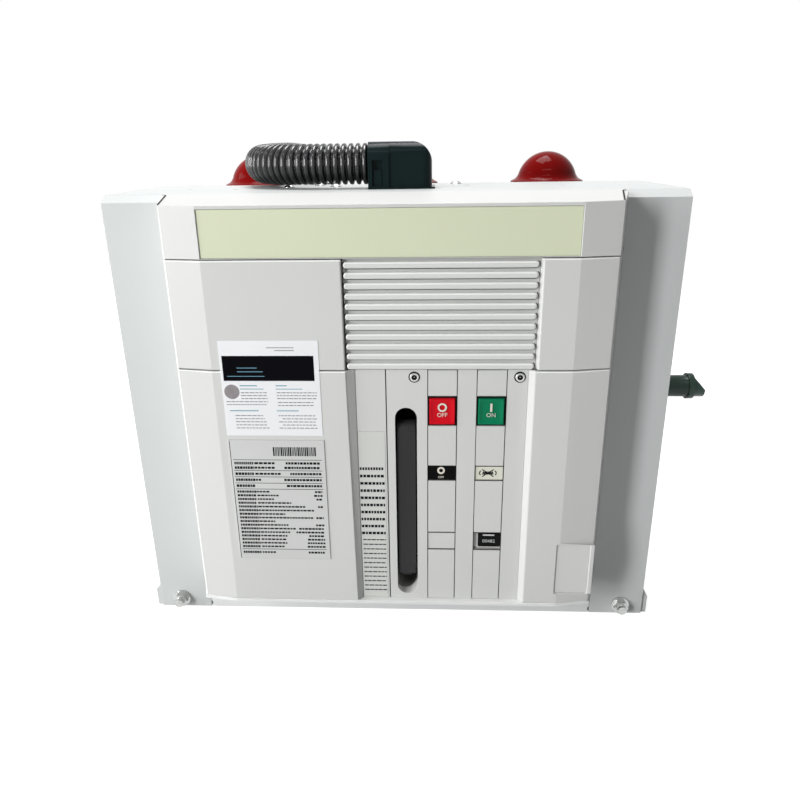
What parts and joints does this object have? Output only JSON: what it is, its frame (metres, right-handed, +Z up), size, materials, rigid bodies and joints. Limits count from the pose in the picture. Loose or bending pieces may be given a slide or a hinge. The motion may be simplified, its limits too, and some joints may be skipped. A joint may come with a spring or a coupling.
{
  "type": "indoor vacuum circuit breaker",
  "caption": "Fixed indoor vacuum circuit breaker: steel drive housing with moulded cover, push buttons and charging lever, conduit elbow and red moulded poles behind.",
  "frame": {"origin": "on the floor, midway between the side walls and 65 mm behind the front plates", "axes": "+X to the right as seen from the front, +Y to the back towards the poles, +Z up"},
  "size_m": [0.497, 0.4038, 0.4145],
  "materials": {
    "enamelled_steel": "satin light grey enamel on sheet steel",
    "moulded_cover": "fine-grained light grey moulded plastic",
    "pale_strip": "pale yellow-green printed strip, bare",
    "grey_label": "grey film label, bare of words",
    "white_sticker": "white film with plain blocks",
    "silver_plate": "satin aluminium plate with ruled lines",
    "zinc": "bright zinc plated steel",
    "black_plastic": "black moulded plastic",
    "lever_grey": "dark grey coated steel",
    "red_button": "red moulded plastic",
    "green_button": "green moulded plastic",
    "cream_flag": "cream printed flag",
    "green_black_plastic": "glossy green-black moulded nylon",
    "black_hose": "glossy black corrugated polyamide conduit",
    "red_epoxy": "glossy deep red cast epoxy resin",
    "copper": "bare copper bar"
  },
  "bodies": {
    "housing": {"rail_left": "enamelled_steel", "rail_right": "enamelled_steel", "rear_cross_member": "enamelled_steel", "base_plate": "enamelled_steel", "housing_shell": "enamelled_steel", "wing_left": "enamelled_steel", "wing_right": "enamelled_steel", "front_plate": "enamelled_steel", "top_plate": "enamelled_steel", "cover_top_band": "moulded_cover", "cover_middle_left": "moulded_cover", "cover_middle_right": "moulded_cover", "cover_lower_left": "moulded_cover", "cover_lower_right": "moulded_cover", "rib_grille": "moulded_cover", "control_panel": "moulded_cover", "panel_inserts": "moulded_cover", "pale_strip": "pale_strip", "label_strip": "grey_label", "data_sticker": "white_sticker", "rating_plate": "silver_plate", "corner_blank_plate": "moulded_cover", "panel_screws": "zinc", "lever_guide": "black_plastic", "button_housing": "black_plastic", "state_indicator": "black_plastic", "spring_indicator": "cream_flag", "cycle_counter": "black_plastic", "housing_screws": "zinc", "side_pin": "green_black_plastic", "conduit_elbow": "green_black_plastic", "conduit": "black_hose", "conduit_plug": "black_plastic", "pole_1": "red_epoxy", "pole_2": "red_epoxy", "pole_3": "red_epoxy", "upper_terminal_1": "copper", "upper_terminal_2": "copper", "upper_terminal_3": "copper", "lower_terminal_1": "copper", "lower_terminal_2": "copper", "lower_terminal_3": "copper"},
    "open_button": {"open_button": "red_button"},
    "close_button": {"close_button": "green_button"},
    "charging_lever": {"charging_lever": "lever_grey"}
  },
  "joints": [
    {"name": "open_button_press", "type": "slide", "parent": "housing", "child": "open_button", "axis": [0, 1, 0], "range_m": [0, 0.004], "stiffness_N_per_m": 400, "springref_m": -0.003},
    {"name": "close_button_press", "type": "slide", "parent": "housing", "child": "close_button", "axis": [0, 1, 0], "range_m": [0, 0.004], "stiffness_N_per_m": 400, "springref_m": -0.003},
    {"name": "charging_lever_pull", "type": "hinge", "parent": "housing", "child": "charging_lever", "pos_m": [0.0112, -0.0945, 0.0748], "axis": [1, 0, 0], "range_deg": [0, 80], "stiffness_Nm_per_rad": 0.25, "springref_deg": -57.3}
  ]
}
